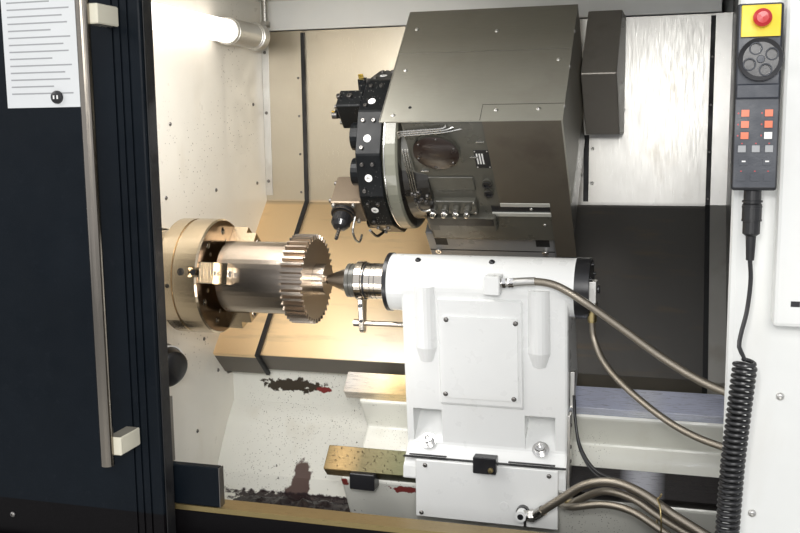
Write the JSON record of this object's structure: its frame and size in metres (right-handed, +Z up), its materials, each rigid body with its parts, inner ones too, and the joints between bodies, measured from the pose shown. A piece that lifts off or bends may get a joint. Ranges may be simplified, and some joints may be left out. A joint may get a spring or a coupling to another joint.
{
  "type": "cnc turning lathe",
  "caption": "Slant-bed turning lathe with sliding door, three-jaw chuck, tool turret, tailstock with live centre, and a corded hand pendant.",
  "frame": {"origin": "centre of the machine's footprint on the floor, under its levelling feet", "axes": "+X along the spindle towards the tailstock, +Y from the door to the back, +Z up"},
  "size_m": [2.8, 1.648, 1.86],
  "materials": {
    "casing_white": "satin powder coat",
    "casting_white": "gloss machine enamel over cast iron",
    "door_navy": "navy-black texture paint",
    "stainless": "brushed sheet",
    "dark_steel": "oil-dark sheet and casting",
    "ground_steel": "ground and turned",
    "hood_grey": "grey-brown paint",
    "black": "black oxide or black plastic",
    "machine_grey": "dark grey paint",
    "glass": "clear",
    "red": "moulded",
    "green": "moulded",
    "braid": "steel-braided hose"
  },
  "bodies": {
    "frame": {"base_frame": "machine_grey", "bed": "casting_white", "upper_rail": "ground_steel", "lower_rail": "ground_steel", "headstock": "casting_white", "left_wall": "casing_white", "right_wall": "dark_steel", "left_fixed_cover": "stainless", "right_fixed_cover": "stainless", "left_casing": "casing_white", "right_casing": "casing_white", "roof_panel": "casing_white", "front_apron": "door_navy", "front_sill": "ground_steel", "electrical_cabinet": "casing_white", "drive_chassis": "machine_grey", "lamp_tube": "glass", "lamp_fitting": "stainless", "control_panel": "casing_white", "panel_screen": "glass", "pendant_body": "machine_grey", "pendant_plug": "black", "pendant_lead": "black", "pendant_coil": "black", "pendant_tail": "black", "upper_hose": "braid", "rear_hose": "braid", "lower_hose": "braid"},
    "door": {"door": "door_navy", "door_window": "glass", "door_handle": "stainless"},
    "spindle": {"spindle": "ground_steel", "chuck_body": "ground_steel", "workpiece": "ground_steel"},
    "jaw_1": {"jaw_1": "ground_steel"},
    "jaw_2": {"jaw_2": "ground_steel"},
    "jaw_3": {"jaw_3": "ground_steel"},
    "carriage": {"saddle": "dark_steel", "carriage_plate": "machine_grey", "moving_cover": "stainless", "motor_cover": "hood_grey"},
    "cross_slide": {"turret_housing": "machine_grey", "hood": "hood_grey", "hood_skirt": "hood_grey"},
    "turret": {"turret_disc": "black", "boring_holder": "black", "turning_holder": "black", "live_tool_head": "machine_grey"},
    "live_tool": {"live_tool_collet": "ground_steel"},
    "tailstock": {"tailstock_body": "casting_white", "tailstock_apron": "casting_white", "tailstock_cover": "casting_white"},
    "quill": {"quill": "ground_steel"},
    "centre": {"live_centre": "ground_steel"},
    "pendant_stop": {"pendant_stop": "red"},
    "pendant_wheel": {"pendant_wheel": "black"},
    "panel_stop": {"panel_stop": "red"},
    "cycle_start": {"cycle_start": "green"},
    "cabinet_door": {"cabinet_door": "casing_white"},
    "main_switch": {"main_switch": "red"}
  },
  "joints": [
    {"name": "door_slide", "type": "slide", "parent": "frame", "child": "door", "axis": [1, 0, 0], "range_m": [0, 0.985]},
    {"name": "spindle_spin", "type": "hinge", "parent": "frame", "child": "spindle", "pos_m": [-0.22, -0.342, 1.1], "axis": [1, 0, 0], "continuous": true},
    {"name": "jaw_1_slide", "type": "slide", "parent": "spindle", "child": "jaw_1", "axis": [0, -0.9781, 0.2079], "range_m": [0, 0.005]},
    {"name": "jaw_2_slide", "type": "slide", "parent": "spindle", "child": "jaw_2", "axis": [0, 0.309, -0.9511], "range_m": [0, 0.005]},
    {"name": "jaw_3_slide", "type": "slide", "parent": "spindle", "child": "jaw_3", "axis": [0, 0.6691, 0.7431], "range_m": [0, 0.005]},
    {"name": "carriage_slide", "type": "slide", "parent": "frame", "child": "carriage", "axis": [1, 0, 0], "range_m": [-0.15, 0.2]},
    {"name": "cross_slide", "type": "slide", "parent": "carriage", "child": "cross_slide", "axis": [0, -0.7071, -0.7071], "range_m": [-0.1, 0.03]},
    {"name": "turret_index", "type": "hinge", "parent": "cross_slide", "child": "turret", "pos_m": [0.126, -0.07754, 1.36446], "axis": [1, 0, 0], "continuous": true},
    {"name": "live_tool_spin", "type": "hinge", "parent": "turret", "child": "live_tool", "pos_m": [0.02, -0.21493, 1.22707], "axis": [0, -0.7071, -0.7071], "continuous": true},
    {"name": "tailstock_slide", "type": "slide", "parent": "frame", "child": "tailstock", "axis": [1, 0, 0], "range_m": [0, 0.25], "deforming": ["upper_hose", "rear_hose", "lower_hose"]},
    {"name": "quill_slide", "type": "slide", "parent": "tailstock", "child": "quill", "axis": [1, 0, 0], "range_m": [0, 0.045]},
    {"name": "centre_spin", "type": "hinge", "parent": "quill", "child": "centre", "pos_m": [0.06, -0.342, 1.1], "axis": [1, 0, 0], "continuous": true},
    {"name": "pendant_stop_press", "type": "slide", "parent": "frame", "child": "pendant_stop", "axis": [0, 1, 0], "range_m": [0, 0.003], "stiffness_N_per_m": 800, "springref_m": -0.001},
    {"name": "pendant_wheel_turn", "type": "hinge", "parent": "frame", "child": "pendant_wheel", "pos_m": [0.86, -0.782, 1.512], "axis": [0, 1, 0], "continuous": true},
    {"name": "panel_stop_press", "type": "slide", "parent": "frame", "child": "panel_stop", "axis": [0, 1, 0], "range_m": [0, 0.003], "stiffness_N_per_m": 800, "springref_m": -0.001},
    {"name": "cycle_start_press", "type": "slide", "parent": "frame", "child": "cycle_start", "axis": [0, 1, 0], "range_m": [0, 0.003], "stiffness_N_per_m": 500, "springref_m": -0.001},
    {"name": "cabinet_door_hinge", "type": "hinge", "parent": "frame", "child": "cabinet_door", "pos_m": [-0.316, 0.79, 1.15], "axis": [0, 0, 1], "range_deg": [0, 100]},
    {"name": "main_switch_turn", "type": "hinge", "parent": "cabinet_door", "child": "main_switch", "pos_m": [0.6817, 0.798, 1.35], "axis": [0, 1, 0], "range_deg": [0, 90]}
  ],
  "couplings": [
    {"joint": "jaw_2_slide", "follows": "jaw_1_slide", "ratio": 1},
    {"joint": "jaw_3_slide", "follows": "jaw_1_slide", "ratio": 1}
  ]
}
